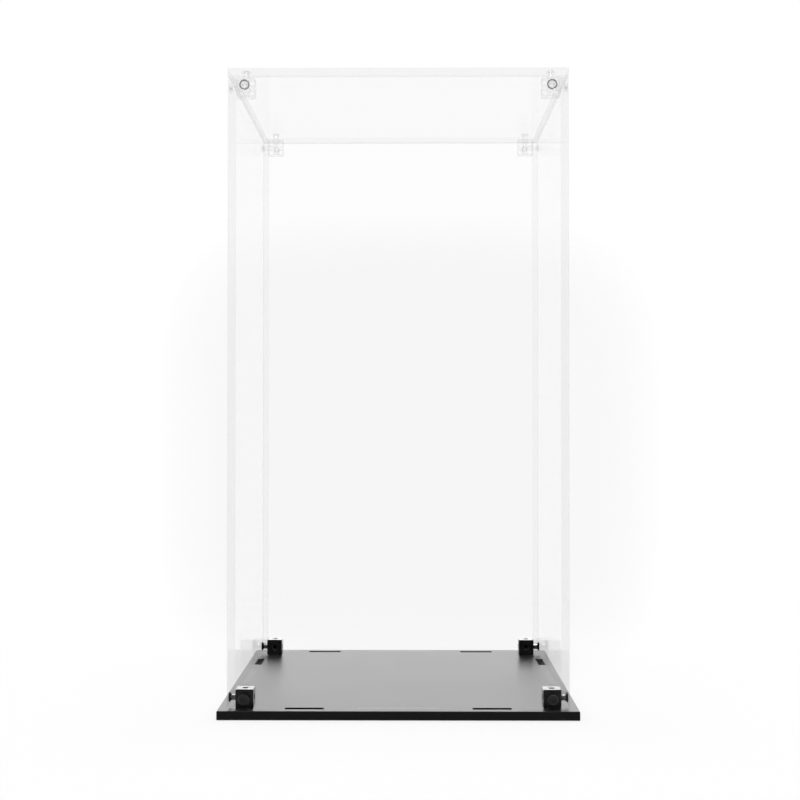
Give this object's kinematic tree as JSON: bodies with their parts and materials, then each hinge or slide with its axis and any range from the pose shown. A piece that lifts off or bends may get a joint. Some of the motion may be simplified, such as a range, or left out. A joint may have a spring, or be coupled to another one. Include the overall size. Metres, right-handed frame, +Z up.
{
  "type": "model display case",
  "caption": "Tall clear display case of flat sheets screwed to corner blocks, standing by tabs in slots on a glossy black base plate.",
  "frame": {"origin": "middle of the underside of the base plate", "axes": "+Z up, +Y from the front wall to the back wall, +X to the right seen from the front"},
  "size_m": [0.238, 0.232, 0.43],
  "materials": {
    "black_gloss_acrylic": "high gloss",
    "clear_acrylic": "clear, polished",
    "black_block_plastic": "satin gloss",
    "clear_block_acrylic": "clear, polished",
    "black_screw_nylon": "satin",
    "clear_screw_plastic": "clear, moulded"
  },
  "bodies": {
    "base": {"base_plate": "black_gloss_acrylic"},
    "case": {"front_panel": "clear_acrylic", "back_panel": "clear_acrylic", "left_panel": "clear_acrylic", "right_panel": "clear_acrylic", "top_panel": "clear_acrylic", "bottom_block_front_left": "black_block_plastic", "bottom_block_front_right": "black_block_plastic", "bottom_block_back_left": "black_block_plastic", "bottom_block_back_right": "black_block_plastic", "top_block_front_left": "clear_block_acrylic", "top_block_front_right": "clear_block_acrylic", "top_block_back_left": "clear_block_acrylic", "top_block_back_right": "clear_block_acrylic", "front_screw_bottom_left": "black_screw_nylon", "front_screw_bottom_right": "black_screw_nylon", "back_screw_bottom_left": "black_screw_nylon", "back_screw_bottom_right": "black_screw_nylon", "left_screw_bottom_front": "black_screw_nylon", "left_screw_bottom_back": "black_screw_nylon", "right_screw_bottom_front": "black_screw_nylon", "right_screw_bottom_back": "black_screw_nylon", "front_screw_top_left": "clear_screw_plastic", "front_screw_top_right": "clear_screw_plastic", "back_screw_top_left": "clear_screw_plastic", "back_screw_top_right": "clear_screw_plastic", "left_screw_top_front": "clear_screw_plastic", "left_screw_top_back": "clear_screw_plastic", "right_screw_top_front": "clear_screw_plastic", "right_screw_top_back": "clear_screw_plastic", "top_screw_front_left": "clear_screw_plastic", "top_screw_front_right": "clear_screw_plastic", "top_screw_back_left": "clear_screw_plastic", "top_screw_back_right": "clear_screw_plastic"}
  },
  "joints": [
    {"name": "case_lift", "type": "slide", "parent": "base", "child": "case", "axis": [0, 0, 1], "range_m": [0, 0.45]}
  ]
}
